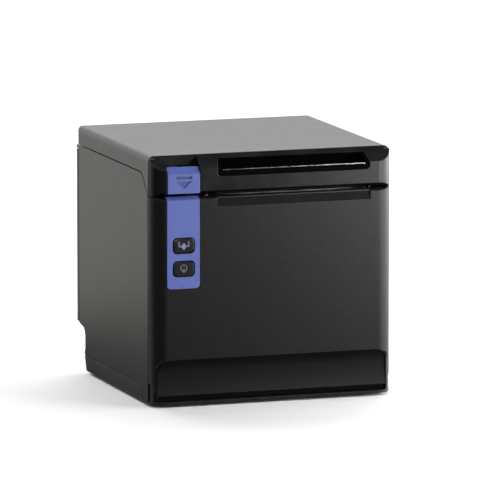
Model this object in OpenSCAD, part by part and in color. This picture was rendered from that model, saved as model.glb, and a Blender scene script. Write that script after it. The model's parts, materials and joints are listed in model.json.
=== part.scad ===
// Compact front-exit receipt printer for 80 mm paper, with a clamshell lid.
// Frame: X to the right, Y to the back, Z up, floor at z = 0, footprint centred.
// Fixed stations of the inner parts are offsets from the named planes below.

/* [Housing] */
// Width of the housing
body_w = 130; // [130:1:136]
// Front plane to rear plane
body_d = 130.4; // [130.4:0.2:134]
// Floor to the top face of the lid
body_h = 129; // [129:0.5:132]
// Wall thickness of the plastic shells
wall = 2; // [1.8:0.1:2.2]
// Radius of the two upright front corners
corner_r = 8; // [6:0.5:9]
// Radius of the long top edges of the lid
top_edge_r = 3; // [2:0.5:3.5]
// Gap drawn between two neighbouring shells
seam = 0.5; // [0.4:0.05:0.6]
// How far the feet stand out below the base
foot_proud = 1.5; // [1:0.1:2]
// Height of the side seam between lid and case
seam_z = 119.7; // [119.5:0.1:120]
// Setback of the front chamfer on the top face
chamfer_back = 7.7; // [7:0.1:8]
// Drop of the front chamfer on the front face
chamfer_drop = 7; // [6:0.1:7.5]

/* [Paper path] */
// Clear width for 80 mm paper
paper_w = 82.8; // [82:0.1:83]
// Sideways offset of the paper from the middle
paper_x = 11.1; // [11:0.1:11.3]
// Inner radius of the round bin floor
roll_r = 41.5; // [40:0.5:41.5]
// Outer radius of the platen roller
platen_r = 6.25; // [6:0.05:6.25]
// Gap kept for the paper at the nip
nip_gap = 0.3; // [0.25:0.05:0.4]

/* [Controls] */
// Width of the blue release lever
lever_w = 17; // [16:0.5:17]
// Width of one push button
button_w = 11.2; // [10:0.2:11.4]
// Height of one push button
button_h = 7.6; // [7:0.1:7.8]
// Gap round a push button
button_gap = 0.4; // [0.3:0.05:0.5]

/* [Drive] */
// Module of the paper feed gears
feed_module = 0.8; // [0.8]
// Teeth of the platen gear
platen_teeth = 20; // [20]
// Teeth of the idler gear
idler_teeth = 30; // [30]
// Teeth of the motor pinion
pinion_teeth = 14; // [14]
// Module of the cutter rack
rack_module = 0.6; // [0.6]
// Teeth of the cutter pinion
cutter_teeth = 12; // [12]

/* [Hidden] */
$fn = 72;
over = 1;

// Housing planes
half_w = body_w / 2;
front_y = -65.1;
rear_y = front_y + body_d;
bottom_z = foot_proud;
inner_x = half_w - wall;
inner_y = front_y + wall + 0.2;

// Side seam: level at the back, one knee, then a straight slant down to the facia
split_y = front_y + 7;
slant_foot_z = 108.6;
knee_y = -48.5;
knee_r = 7.7;
case_top_z = seam_z - seam;
facia_low_z = 110.9;
facia_seam = 0.8;
facia_half = half_w - top_edge_r - 0.2;
groove_y = front_y + 3.5;
groove_z = 108.75;
panel_top_z = 106.95;
panel_low_z = 3.2;
base_top_z = 9.3;
case_rear_y = 59.6;
cover_y = case_rear_y + 0.5;
cover_top_z = 116.9;
cover_r = 2.5;
lip_y = case_rear_y - 0.5;
lip_r = 1.2;
bay_y = 49.3;
bay_top_z = 24.3;

// Lid hinge
hinge_y = 58.5;
hinge_z = seam_z + 4;
hinge_x = 45;
ear_t = 6;
ear_r = 2.6;
pin_r = 1.5;
run_gap = 0.05;
lid_rear_y = hinge_y + 4;

// Paper nip
platen_y = -47;
nip_z = 108.85;
platen_z = nip_z + nip_gap + platen_r;
paper_x0 = paper_x - paper_w / 2;
paper_x1 = paper_x + paper_w / 2;
roll_y = 13;
roll_z = 66;
bin_wall = 1.6;

// Print mechanism
plate_t = 1.2;
frame_x0 = paper_x0 - 2.0 - plate_t;
frame_x1 = paper_x1 + 2.0;
frame_front_y = -56;
frame_back_y = -31;
frame_top_z = 116;
frame_screw_x = [frame_x0 - 3, frame_x1 + plate_t + 3];
frame_screw_y = [-51, -36];
shaft_r = 3;
bush_r = 4.2;
arm_gap = 0.9;
arm_t = 2;
arm_x0 = frame_x0 - arm_gap - arm_t;
arm_x1 = frame_x1 + plate_t + arm_gap;
gear_t = 3.4;
gear_x = arm_x0 - 1 - gear_t;
gear_plate_x = gear_x - 2.2;

// Gear centres: the idler hangs below and behind the platen gear
mesh_play = 0.12;
platen_pitch = feed_module * platen_teeth / 2;
idler_pitch = feed_module * idler_teeth / 2;
pinion_pitch = feed_module * pinion_teeth / 2;
idler_angle = -72;
pinion_angle = -55;
idler_y = platen_y + (platen_pitch + idler_pitch + mesh_play) * cos(idler_angle);
idler_z = platen_z + (platen_pitch + idler_pitch + mesh_play) * sin(idler_angle);
pinion_y = idler_y + (idler_pitch + pinion_pitch + mesh_play) * cos(pinion_angle);
pinion_z = idler_z + (idler_pitch + pinion_pitch + mesh_play) * sin(pinion_angle);

// Latch
latch_y = -34;
latch_z = 121;
latch_shaft_r = 1.5;
crank_reach = 10;
catch_y = -36.9;
catch_z = 112.6;
catch_r = 1.2;
hook_t = 2.2;

// Release lever
lever_x = -48;
lever_low_z = 110.1;
lever_edge_z = 120.2;
lever_top_z = 121.4;
lever_facet = 3;
mark_depth = 0.6;
lever_face_y = front_y - 0.1;
lever_skin = 1.6;

// Buttons and bezel
bezel_x0 = -57;
bezel_x1 = -39.7;
bezel_low_z = 61.3;
bezel_top_z = 106.8;
bezel_y = front_y - 0.3;
button_x = -48.2;
feed_z = 83.4;
power_z = 71.5;
button_y = bezel_y - 0.1;

// Cutter
blade_y = -57.3;
blade_t = 0.6;
cutter_pitch = rack_module * cutter_teeth / 2;
cutter_x = 6;
cutter_z = 76;

// Feet
foot_r = 6;
foot_x = 50;
foot_front_y = -49;
foot_back_y = 36;

/* Shared shapes */

// Extrudes a (y, z) outline along X
module along_x(x0, x1) {
    translate([x0, 0, 0]) rotate([90, 0, 90]) linear_extrude(x1 - x0) children();
}

// Extrudes an (x, z) outline along Y
module along_y(y0, y1) {
    translate([0, y1, 0]) rotate([90, 0, 0]) linear_extrude(y1 - y0) children();
}

// Box from two corners
module box(a, b) {
    translate(a) cube(b - a);
}

// Rounded rectangle from two corners
module round_rect(a, b, r) {
    translate([a.x + r, a.y]) square([b.x - a.x - 2 * r, b.y - a.y]);
    translate([a.x, a.y + r]) square([b.x - a.x, b.y - a.y - 2 * r]);
    for (x = [a.x + r, b.x - r], y = [a.y + r, b.y - r]) translate([x, y]) circle(r);
}

// Plan outline with front and rear corner radii
module plan(hw, y0, y1, rf, rb) {
    translate([-hw, y0 + rf]) square([2 * hw, y1 - y0 - rf - rb]);
    translate([-hw + rf, y0]) square([2 * (hw - rf), y1 - y0 - rb]);
    translate([-hw + rb, y0 + rf]) square([2 * (hw - rb), y1 - y0 - rf]);
    for (s = [-1, 1]) {
        translate([s * (hw - rf), y0 + rf]) circle(rf);
        translate([s * (hw - rb), y1 - rb]) circle(rb);
    }
}

// Rod along X, and rod along Y
module rod_x(x0, x1, y, z, r) {
    translate([x0, y, z]) rotate([0, 90, 0]) cylinder(h = x1 - x0, r = r);
}
module rod_y(x, y0, y1, z, r) {
    translate([x, y0, z]) rotate([-90, 0, 0]) cylinder(h = y1 - y0, r = r);
}

// Points of an arc, in degrees
function arc(c, r, a0, a1, n = 8) =
    [for (i = [0:n]) let(a = a0 + (a1 - a0) * i / n) [c.x + r * cos(a), c.y + r * sin(a)]];

// Knee of the side seam: tangent arc between the level run and the slant, moved down by d
slant = atan2(seam_z - slant_foot_z, knee_y - split_y);
function knee(d) =
    let(reach = knee_r * tan(slant / 2),
        c = [knee_y + reach, seam_z - knee_r])
    arc([c.x + d * tan(slant / 2), c.y], knee_r - d, 90, 90 + slant);

// Straight spur gear teeth on a root disc, with axis along Z
module spur_outline(m, n) {
    pitch = m * n / 2;
    root = pitch - 1.2 * m;
    tip = pitch + 0.9 * m;
    half = 360 / n / 4;
    circle(root);
    for (i = [0:n - 1]) rotate(i * 360 / n) polygon([
        [(root - 0.3) * cos(half * 1.45), -(root - 0.3) * sin(half * 1.45)],
        [pitch * cos(half * 0.9), -pitch * sin(half * 0.9)],
        [tip * cos(half * 0.42), -tip * sin(half * 0.42)],
        [tip * cos(half * 0.42), tip * sin(half * 0.42)],
        [pitch * cos(half * 0.9), pitch * sin(half * 0.9)],
        [(root - 0.3) * cos(half * 1.45), (root - 0.3) * sin(half * 1.45)]
    ]);
}

// Spur gear on an X axis: phase turns the first tooth from +Y towards +Z
module gear_x_axis(m, n, x0, x1, y, z, bore, phase) {
    translate([x0, y, z]) rotate([90, 0, 90]) difference() {
        linear_extrude(x1 - x0) rotate(phase) spur_outline(m, n);
        translate([0, 0, -over]) cylinder(h = x1 - x0 + 2 * over, r = bore);
    }
}

/* Lid solids */

// Solid block of the closed lid
module lid_block() {
    intersection() {
        translate([0, 0, slant_foot_z]) linear_extrude(body_h - slant_foot_z)
            plan(half_w, front_y, lid_rear_y, corner_r, top_edge_r);
        along_y(front_y, lid_rear_y) {
            translate([-half_w, slant_foot_z]) square([body_w, body_h - top_edge_r - slant_foot_z]);
            translate([-half_w + top_edge_r, slant_foot_z])
                square([body_w - 2 * top_edge_r, body_h - slant_foot_z]);
            for (s = [-1, 1]) translate([s * (half_w - top_edge_r), body_h - top_edge_r])
                circle(top_edge_r);
        }
        along_x(-half_w, half_w) difference() {
            polygon(concat(
                [[front_y, groove_z], [split_y, slant_foot_z]],
                [for (i = [len(knee(0)) - 1:-1:0]) knee(0)[i]],
                [[lid_rear_y, seam_z], [lid_rear_y, body_h],
                 [front_y + chamfer_back, body_h], [front_y, body_h - chamfer_drop]]
            ));
            lid_rear_round();
        }
    }
}

// Waste corner under the rounded lower rear edge, centred on the hinge
module lid_rear_round() {
    r = lid_rear_y - hinge_y;
    difference() {
        translate([hinge_y, seam_z - over]) square([r + over, r + over]);
        translate([hinge_y, hinge_z]) circle(r);
    }
}

// Room inside the lid skin
module lid_hollow() {
    intersection() {
        translate([0, 0, slant_foot_z - over]) linear_extrude(body_h - wall - slant_foot_z + over)
            plan(inner_x, inner_y, lid_rear_y - wall, corner_r - wall, 1);
        along_x(-half_w, half_w) polygon([
            [inner_y, slant_foot_z - over], [lid_rear_y - wall, slant_foot_z - over],
            [lid_rear_y - wall, body_h - wall],
            [front_y + chamfer_back + 0.2, body_h - wall],
            [inner_y, body_h - chamfer_drop - 1.1]
        ]);
    }
}

// Window of the release lever and the finger channel above it
module lever_window() {
    x0 = lever_x - lever_w / 2 - seam + 0.1;
    x1 = lever_x + lever_w / 2 + seam - 0.1;
    box([x0, front_y - over, slant_foot_z - over], [x1, front_y + 4, lever_top_z]);
    box([x0, front_y - over, lever_top_z - 2], [x1, front_y + chamfer_back - 0.6, body_h + over]);
}

// Window of the paper slot: level across the front, narrowing up the chamfer
slot_x0 = -29.6;
slot_x1 = 51.9;
slot_low_z = 118.4;
slot_top_z = 126.3;
slot_taper = 1.7;
module slot_outline(g) {
    polygon([
        [slot_x0 + 1.2 - g, slot_low_z - g], [slot_x1 - 1.2 + g, slot_low_z - g],
        [slot_x1 + g, slot_low_z + 1.2 - g], [slot_x1 + g, body_h - chamfer_drop],
        [slot_x1 - slot_taper + g, slot_top_z + g], [slot_x0 + slot_taper - g, slot_top_z + g],
        [slot_x0 - g, body_h - chamfer_drop], [slot_x0 - g, slot_low_z + 1.2 - g]
    ]);
}

/* Lid */

module lid_shell() {
    color("dimgray") difference() {
        intersection() {
            lid_block();
            box([-half_w, split_y - 0.3, slant_foot_z - over], [half_w, lid_rear_y, body_h]);
        }
        lid_hollow();
        box([-facia_half - 0.15, front_y, slant_foot_z - over],
            [facia_half + 0.15, front_y + chamfer_back + 0.1, body_h + over]);
        for (s = [-1, 1]) box(
            [s * hinge_x - ear_t / 2 - seam, hinge_y - 5, seam_z - over],
            [s * hinge_x + ear_t / 2 + seam, lid_rear_y + over, hinge_z + ear_r + 0.6]);
    }
    color("dimgray") for (s = [-1, 1]) lid_knuckle(s * (hinge_x - ear_t / 2 - seam - 3));
    color("dimgray") for (x = [-26, paper_x, 48], y = [-50, -39.5])
        difference() {
            translate([x, y, holder_z + holder_t]) cylinder(h = body_h - wall - holder_z - holder_t, r = 2.6);
            translate([x, y, holder_z + holder_t - over]) cylinder(h = 3.2, r = screw_r);
        }
    color("dimgray") for (x = [-40, 0, 40]) box([x - 0.6, -25, body_h - wall - 2.5], [x + 0.6, 52, body_h - wall]);
    color("dimgray") for (y = [-18, 6, 30]) box([-52, y - 0.6, body_h - wall - 2.5], [52, y + 0.6, body_h - wall]);
}

// Knuckle that turns on one hinge pin
knuckle_t = 5;
module lid_knuckle(x) {
    difference() {
        union() {
            rod_x(x - knuckle_t / 2, x + knuckle_t / 2, hinge_y, hinge_z, 2.9);
            box([x - knuckle_t / 2, hinge_y - 2.9, hinge_z],
                [x + knuckle_t / 2, lid_rear_y - wall, body_h - wall]);
        }
        rod_x(x - knuckle_t, x + knuckle_t, hinge_y, hinge_z, pin_r + run_gap);
    }
}

module lid_facia() {
    color("black") difference() {
        intersection() {
            lid_block();
            union() {
                box([-half_w, front_y, slant_foot_z - over], [half_w, split_y - facia_seam, body_h]);
                box([-facia_half, front_y, slant_foot_z], [facia_half, front_y + chamfer_back, body_h]);
            }
        }
        difference() {
            lid_hollow();
            along_x(-half_w, half_w) polygon([
                [front_y, facia_low_z], [groove_y, groove_z - over], [groove_y + 0.3, groove_z - over],
                [groove_y + 0.3, facia_low_z + 0.8], [front_y, facia_low_z + 2]
            ]);
        }
        along_x(-half_w - over, half_w + over) polygon([
            [front_y - over, facia_low_z + 0.6], [front_y - over, slant_foot_z - over],
            [groove_y, slant_foot_z - over], [groove_y, groove_z], [front_y, facia_low_z]
        ]);
        box([paper_x0, front_y, slant_foot_z - over], [paper_x1, split_y, groove_z + 1.2]);
        lever_window();
        along_y(front_y - over, front_y + chamfer_back + over) slot_outline(0.3);
    }
    color("black") intersection() {
        box([lever_x - lever_w / 2 - 1, front_y + chamfer_back - 0.7, lever_top_z + 2.2],
            [lever_x + lever_w / 2 + 1, front_y + chamfer_back, body_h]);
        lid_block();
    }
    color("black") intersection() {
        for (x = [lever_x - lever_w / 2 - 2.2, lever_x + lever_w / 2 + seam])
            box([x, inner_y - 0.5, facia_low_z + 1], [x + 2.2 - seam, front_y + 5.6, lever_top_z]);
        lid_block();
    }
}

// Insert that frames the paper slot; its throat is open downwards behind the lip
module slot_insert() {
    color([0.12, 0.12, 0.12]) difference() {
        intersection() {
            lid_block();
            along_y(front_y, front_y + 8.4) slot_outline(0);
        }
        box([slot_x0 + 2.4, front_y - over, body_h - chamfer_drop - 0.4],
            [slot_x1 - 2.4, front_y + 7.4, slot_top_z - 0.35]);
        box([slot_x0 + 2.4, front_y + 1.8, slot_low_z - over],
            [slot_x1 - 2.4, front_y + 7.4, slot_top_z - 0.35]);
        box([slot_x0 - over, front_y + 0.35, slot_low_z - over],
            [slot_x1 + over, front_y + 1, slot_low_z + 0.5]);
    }
}

holder_z = 122.9;
holder_t = 1.6;
screw_r = 1.1;
module platen_holder() {
    color("gray") difference() {
        union() {
            box([arm_x0, -53, holder_z], [arm_x1 + arm_t, -41, holder_z + holder_t]);
            box([frame_x0 + plate_t, -53, holder_z], [frame_x1 - 0.2, -30, holder_z + holder_t]);
            for (x = [arm_x0, arm_x1]) {
                box([x, platen_y - 5.4, platen_z], [x + arm_t, platen_y + 5.4, holder_z + 0.5]);
                rod_x(x, x + arm_t, platen_y, platen_z, 5.4);
            }
            box([paper_x0 - 1.2, -55.4, 116.6], [paper_x1 + 1.2, -54.2, holder_z + holder_t]);
            box([paper_x0 - 1.2, -55.4, holder_z], [paper_x1 + 1.2, -52, holder_z + holder_t]);
            for (x = [frame_x0 + plate_t + 1, paper_x, frame_x1 - 3.4])
                box([x, latch_y - 3, latch_z - 3], [x + 2.2, latch_y + 3, holder_z + 0.5]);
        }
        for (x = [arm_x0, arm_x1])
            rod_x(x - over, x + arm_t + over, platen_y, platen_z, bush_r);
        rod_x(frame_x0, frame_x1 + 3, latch_y, latch_z, latch_shaft_r + run_gap);
        for (x = [-26, paper_x, 48], y = [-50, -39.5])
            translate([x, y, holder_z - over]) cylinder(h = 2 * holder_t, r = screw_r);
    }
}

module fixed_blade() {
    color("silver") along_y(-56.4, -55.4)
        polygon([[paper_x0 - 1, 110.4], [paper_x1 + 1, 110.4], [paper_x1 + 1, 122], [paper_x0 - 1, 122]]);
}

module platen_bushes() {
    color("white") for (x = [[arm_x0, frame_x0 + plate_t + 0.6], [frame_x1 - 0.6, arm_x1 + arm_t]])
        difference() {
            rod_x(x[0], x[1], platen_y, platen_z, bush_r);
            rod_x(x[0] - over, x[1] + over, platen_y, platen_z, shaft_r + run_gap);
        }
}

// Torsion spring round the latch shaft, next to the crank
module latch_spring() {
    color("silver") for (i = [0:5]) translate([-44.6 + i * 0.75, latch_y, latch_z]) rotate([0, 90, 0])
        rotate_extrude() translate([2.4, 0]) circle(0.3);
    color("silver") box([-44.9, latch_y - 0.3, latch_z + 2.2], [-44.3, latch_y + 0.3, body_h - wall]);
}

module lid_screws() {
    color("silver") for (x = [-26, paper_x, 48], y = [-50, -39.5]) difference() {
        union() {
            translate([x, y, holder_z - 0.5]) cylinder(h = 0.5, r = 2);
            translate([x, y, holder_z - 0.5]) cylinder(h = 3.6, r = screw_r);
        }
        translate([x, y, holder_z - over]) cylinder(h = 0.8, r = 0.7, $fn = 6);
    }
}

/* Platen */

module platen_shaft() {
    color("silver") rod_x(gear_x - 0.6, arm_x1 + arm_t + 1.4, platen_y, platen_z, shaft_r);
}

module platen_roller() {
    color([0.08, 0.08, 0.08]) difference() {
        rod_x(paper_x0, paper_x1, platen_y, platen_z, platen_r);
        rod_x(paper_x0 - over, paper_x1 + over, platen_y, platen_z, shaft_r);
    }
}

// The platen gear keeps one tooth on the line to the idler
module platen_gear() {
    color("ivory") gear_x_axis(feed_module, platen_teeth, gear_x, gear_x + gear_t,
        platen_y, platen_z, shaft_r, idler_angle);
}

// The idler shows a gap to the platen gear
module idler_gear() {
    color("ivory") gear_x_axis(feed_module, idler_teeth, gear_x + 0.2, gear_x + gear_t - 0.2,
        idler_y, idler_z, 1.55, idler_angle + 180 + 180 / idler_teeth);
}

// Tooth phase of the pinion that answers the idler's teeth on their line of centres
idler_phase = idler_angle + 180 + 180 / idler_teeth;
pinion_phase = pinion_angle + 180 + 180 / pinion_teeth
    + (idler_phase - pinion_angle) * -idler_teeth / pinion_teeth;
module motor_pinion() {
    color("gold") gear_x_axis(feed_module, pinion_teeth, gear_x, gear_x + gear_t,
        pinion_y, pinion_z, 0.9, pinion_phase);
    color("silver") rod_x(gear_plate_x - 1.2, gear_x + gear_t, pinion_y, pinion_z, 0.9);
}

/* Release lever and latch */

module release_lever() {
    x0 = lever_x - lever_w / 2;
    x1 = lever_x + lever_w / 2;
    color([0.4, 0.44, 0.71]) difference() {
        union() {
            along_x(x0, x1) polygon([
                [lever_face_y, lever_low_z], [lever_face_y, lever_edge_z],
                [lever_face_y + lever_facet, lever_top_z + 1.9], [lever_face_y + 4.4, lever_top_z + 1.9],
                [lever_face_y + 4.4, lever_top_z - 0.6], [lever_face_y + lever_skin, lever_edge_z - 1.2],
                [lever_face_y + lever_skin, lever_low_z]
            ]);
            along_x(lever_x - 5, lever_x + 5) polygon([
                [lever_face_y + 1, lever_low_z + 2.4], [lever_face_y + 1, lever_top_z],
                [lever_face_y + 4.4, lever_top_z], [lever_face_y + 4.4, lever_low_z + 4.4]
            ]);
            box([lever_x - 7, lever_face_y + 3, lever_top_z - 0.4],
                [lever_x - 2, latch_y - crank_reach + 3, lever_top_z + 1.9]);
            box([lever_x - 7, latch_y - crank_reach - 3, lever_top_z - 2.2],
                [lever_x - 2, latch_y - crank_reach + 3, lever_top_z + 3.2]);
        }
        along_x(lever_x - 8, lever_x - 1) round_rect(
            [latch_y - crank_reach - 1.7, lever_top_z - 0.75],
            [latch_y - crank_reach + 1.7, lever_top_z + 1.95], 1.2);
        lever_mark();
    }
}

// Recessed mark on the lever: a bar over a downward triangle
module lever_mark() {
    along_y(lever_face_y - over, lever_face_y + mark_depth) {
        translate([lever_x - 4.4, 117.4]) square([8.8, 1.4]);
        polygon([[lever_x - 4.3, 116.2], [lever_x + 4.3, 116.2], [lever_x, 112.3]]);
    }
}

// Latch shaft with its crank and two hooks
crank_x = lever_x - 1.4;
crank_pin_z = lever_top_z + 0.6;
module latch_hooks() {
    color("silver") union() {
        rod_x(crank_x, arm_x1 + arm_t + 1.6, latch_y, latch_z, latch_shaft_r);
        rod_x(crank_x, crank_x + 2.4, latch_y, latch_z, 3);
        along_x(crank_x, crank_x + 2.4) polygon([
            [latch_y, latch_z - 2.4], [latch_y - crank_reach, crank_pin_z - 1.6],
            [latch_y - crank_reach, crank_pin_z + 1.6], [latch_y, latch_z + 2.4]
        ]);
        rod_x(crank_x, crank_x + 2.4, latch_y - crank_reach, crank_pin_z, 1.6);
        rod_x(lever_x - 6.4, crank_x + 1, latch_y - crank_reach, crank_pin_z, 1.15);
        for (x = [frame_x0 - 0.8 - hook_t, frame_x1 + plate_t + 0.8]) {
            rod_x(x, x + hook_t, latch_y, latch_z, 2.9);
            along_x(x, x + hook_t) polygon([
                [latch_y - 1.3, latch_z - 1], [latch_y - 1.3, catch_z - catch_r - 0.3],
                [catch_y - 0.5, catch_z - catch_r - 0.3], [catch_y - 0.5, catch_z - catch_r - 1.1],
                [latch_y - 1.6, catch_z - catch_r - 3], [latch_y + 1, catch_z - catch_r - 3],
                [latch_y + 2, latch_z - 1]
            ]);
        }
    }
}

/* Housing */

// Side outline of the base: the rear end leans in under the cable bay
module base_side() {
    polygon([[front_y, bottom_z], [47.2, bottom_z], [50.4, base_top_z], [front_y, base_top_z]]);
}

module base_tray() {
    color([0.16, 0.16, 0.15]) difference() {
        union() {
            difference() {
                intersection() {
                    translate([0, 0, bottom_z]) linear_extrude(wall)
                        plan(half_w, front_y + 0.4, 60, corner_r, 1);
                    along_x(-half_w, half_w) base_side();
                }
                box([-half_w - over, front_y, panel_low_z - 0.3], [half_w + over, split_y + 0.2, 10]);
            }
            for (x = [-half_w, inner_x]) intersection() {
                box([x, -48.5, bottom_z], [x + wall, 60, base_top_z]);
                along_x(-half_w, half_w) base_side();
            }
            for (x = [-52, 52], y = [22, 42]) translate([x, y, bottom_z])
                cylinder(h = connector_z - bottom_z, r = 3);
            for (s = [-1, 1]) corner_post(s);
        }
        for (x = [-half_w - over, inner_x - 0.3])
            box([x, split_y - 0.1, -over], [x + wall + 1.3, -48.5, base_top_z]);
        for (x = [-foot_x, foot_x], y = [foot_front_y, foot_back_y])
            translate([x, y, bottom_z - over]) cylinder(h = over + 1, r = foot_r);
        for (x = frame_screw_x, y = frame_screw_y)
            translate([x, y, 0]) cylinder(h = 10, r = 1.5);
    }
}

// Upright rounded post that shows through the arch in the front panel
module corner_post(s) {
    r = corner_r - 0.55;
    translate([s * (half_w - corner_r), front_y + corner_r, bottom_z + 1]) intersection() {
        difference() {
            cylinder(h = 10.2, r = r);
            translate([0, 0, -over]) cylinder(h = 12, r = r - 1.6);
        }
        translate([s * (corner_r - half_w), -front_y - corner_r, -bottom_z - 1]) corner_arch(s, 0.5);
    }
}

connector_z = 5.2;
connector_t = 1.6;

module main_case() {
    color("dimgray") difference() {
        along_x(-half_w, half_w) case_side();
        box([-inner_x, front_y, -over], [inner_x, case_rear_y - wall, body_h]);
        box([-inner_x, front_y, -over], [inner_x, case_rear_y + over, bay_top_z + 3]);
    }
    color("dimgray") box([-inner_x - 0.5, 56.6, case_top_z - wall], [inner_x + 0.5, case_rear_y, case_top_z]);
    color("dimgray") intersection() {
        translate([0, 0, cover_top_z + seam]) linear_extrude(case_top_z - cover_top_z - seam)
            plan(half_w, 40, rear_y, 1, 3);
        along_x(-half_w, half_w) polygon(concat(
            [[lip_y, cover_top_z], [rear_y, cover_top_z]],
            arc([rear_y - lip_r, case_top_z - lip_r], lip_r, 0, 90), [[lip_y, case_top_z]]
        ));
    }
    color("dimgray") for (s = [-1, 1]) hinge_ear(s * hinge_x);
    color("dimgray") for (y = board_screw_y, z = board_screw_z) difference() {
        rod_x(-inner_x - 0.5, board_x, y, z, 3);
        rod_x(-inner_x, board_x + over, y, z, screw_r);
    }
}

// Side wall of the case
module case_side() {
    polygon(concat(
        [[split_y + 0.5, bottom_z], [-48.7, bottom_z], [-48.7, base_top_z + 0.3],
         [50.2, base_top_z + 0.3], [50.4, 10.9], [bay_y, 13]],
        arc([bay_y + 5.2, bay_top_z - 5.2], 5.2, 180, 110),
        [[case_rear_y, bay_top_z + 0.9], [case_rear_y, case_top_z]],
        knee(seam),
        [[split_y + 0.5, slant_foot_z - 0.2]]
    ));
}

module hinge_ear(x) {
    difference() {
        union() {
            rod_x(x - ear_t / 2, x + ear_t / 2, hinge_y, hinge_z, ear_r);
            box([x - ear_t / 2, hinge_y - 1.6, case_top_z - wall],
                [x + ear_t / 2, hinge_y + 1.1, hinge_z]);
        }
        rod_x(x - ear_t, x + ear_t, hinge_y, hinge_z, pin_r);
    }
}

module hinge_pins() {
    color("silver") for (s = [-1, 1])
        rod_x(s * (hinge_x - 2.8) - 5.8, s * (hinge_x - 2.8) + 5.8, hinge_y, hinge_z, pin_r);
}

// Front panel: wraps both corners, with a scoop low down and a relief under the paper outlet
relief_x0 = -30.2;
relief_x1 = 52.5;
relief_low_z = 102.7;
relief_depth = [0.4, 1.8];
scoop_x = 61.7;
scoop_top_z = 24.5;
scoop_depth = 2.6;
module front_panel() {
    color([0.2, 0.2, 0.2]) difference() {
        translate([0, 0, panel_low_z]) linear_extrude(groove_z - panel_low_z) difference() {
            plan(half_w, front_y, front_y + 40, corner_r, 1);
            plan(inner_x, inner_y, front_y + 60, corner_r - wall, 1);
            translate([-half_w - over, split_y]) square([body_w + 2 * over, 60]);
        }
        along_x(-half_w - over, half_w + over) polygon([
            [front_y - over, panel_top_z - 0.4], [front_y, panel_top_z], [groove_y, groove_z - seam],
            [front_y + 12, groove_z - seam], [front_y + 12, body_h], [front_y - over, body_h]
        ]);
        along_x(relief_x0, relief_x1) polygon([
            [front_y - over, relief_low_z], [front_y + relief_depth[0], relief_low_z],
            [front_y + relief_depth[1], groove_z + over], [front_y - over, groove_z + over]
        ]);
        scoop();
        box([bezel_x0 - 0.15, front_y - over, bezel_low_z - 0.15],
            [bezel_x1 + 0.15, front_y + 5, body_h]);
        for (s = [-1, 1]) corner_arch(s);
    }
    color([0.2, 0.2, 0.2]) scoop_back();
    color([0.2, 0.2, 0.2]) box([paper_x0 - 8, inner_y - 0.2, groove_z - 1.9],
        [inner_x - 4, front_y + 4.6, groove_z - 0.9]);
    color([0.2, 0.2, 0.2]) for (x = [-30, 30], z = [40, 88]) difference() {
        rod_y(x, inner_y - 0.2, front_y + 5.5, z, 2.4);
        rod_y(x, inner_y + 1, front_y + 6, z, screw_r);
    }
}

// Outline of the scoop seen from the front
module scoop_outline(g) {
    intersection() {
        round_rect([-scoop_x - g, -20], [scoop_x + g, scoop_top_z + g], 6 + g);
        translate([-half_w, 0]) square([body_w, 60]);
    }
}

// The scoop slopes inwards below its top edge and then runs level
module scoop_side(t) {
    polygon([
        [front_y - 3, scoop_top_z + 1], [front_y + 0.05 + t, scoop_top_z + t],
        [front_y + scoop_depth + t, 18.5 + t], [front_y + scoop_depth - 0.6 + t, 6 - t],
        [front_y + scoop_depth + 2 + t, panel_low_z - 2], [front_y - 3, panel_low_z - 2]
    ]);
}

module scoop() {
    intersection() {
        along_y(front_y - over, front_y + 8) scoop_outline(0);
        along_x(-half_w, half_w) scoop_side(0);
    }
}

// Skin behind the scoop
module scoop_back() {
    difference() {
        intersection() {
            along_y(front_y + 0.4, front_y + 5) scoop_outline(1.2);
            box([-half_w + 2.4, front_y + 0.4, panel_low_z], [half_w - 2.4, front_y + 4.2, 25.6]);
        }
        along_x(-half_w, half_w) scoop_side(0);
        for (s = [-1, 1]) corner_arch(s);
    }
}

// Quarter-round opening low in each front corner, which shows the post of the base
module corner_arch(s, g = 0) {
    x0 = s > 0 ? half_w - 2.9 + g : -half_w - over;
    rear = split_y + 0.3 - 2 * g;
    along_x(x0, x0 + 2.9 + over - g) polygon(concat(
        [[rear, panel_low_z - over]],
        [for (i = [0:8]) [rear - (6 - 2 * g) * sin(i * 11.25), panel_low_z + (9.2 - g) * cos(i * 11.25)]],
        [[rear - 6 + 2 * g, panel_low_z - over]]
    ));
}

module control_bezel() {
    color([0.4, 0.44, 0.71]) difference() {
        intersection() {
            along_x(bezel_x0, bezel_x1) polygon([
                [bezel_y, bezel_low_z], [bezel_y, bezel_top_z], [bezel_y + 3, bezel_top_z + 1.6],
                [bezel_y + 4.6, bezel_top_z + 1.6], [bezel_y + 4.6, bezel_top_z - 3],
                [bezel_y + 2.4, bezel_top_z - 4], [bezel_y + 2.4, bezel_low_z]
            ]);
            along_y(bezel_y, bezel_y + 10)
                round_rect([bezel_x0, bezel_low_z], [bezel_x1, bezel_top_z + 20], 1.8);
        }
        for (z = [feed_z, power_z]) along_y(bezel_y - over, bezel_y + 4)
            button_outline(z, button_gap);
    }
    color([0.4, 0.44, 0.71]) for (z = [bezel_low_z + 2, bezel_top_z - 10]) {
        box([bezel_x0 + 2, bezel_y + 2, z], [bezel_x1 - 2, bezel_y + 4, z + 1.5]);
        box([bezel_x0 - 0.8, inner_y, z], [bezel_x1 + 1.5, bezel_y + 4, z + 1.5]);
    }
}

module button_outline(z, g) {
    round_rect([button_x - button_w / 2 - g, z - button_h / 2 - g],
        [button_x + button_w / 2 + g, z + button_h / 2 + g], 2 + g);
}

module push_button(z) {
    along_y(button_y, button_y + 3) button_outline(z, 0);
    along_y(button_y + 2.8, button_y + 3.6) button_outline(z, 0.9);
    rod_y(button_x, button_y + 3.5, button_y + 5.6, z, 1.6);
}

module feed_button() {
    color([0.1, 0.1, 0.1]) push_button(feed_z);
}

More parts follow.
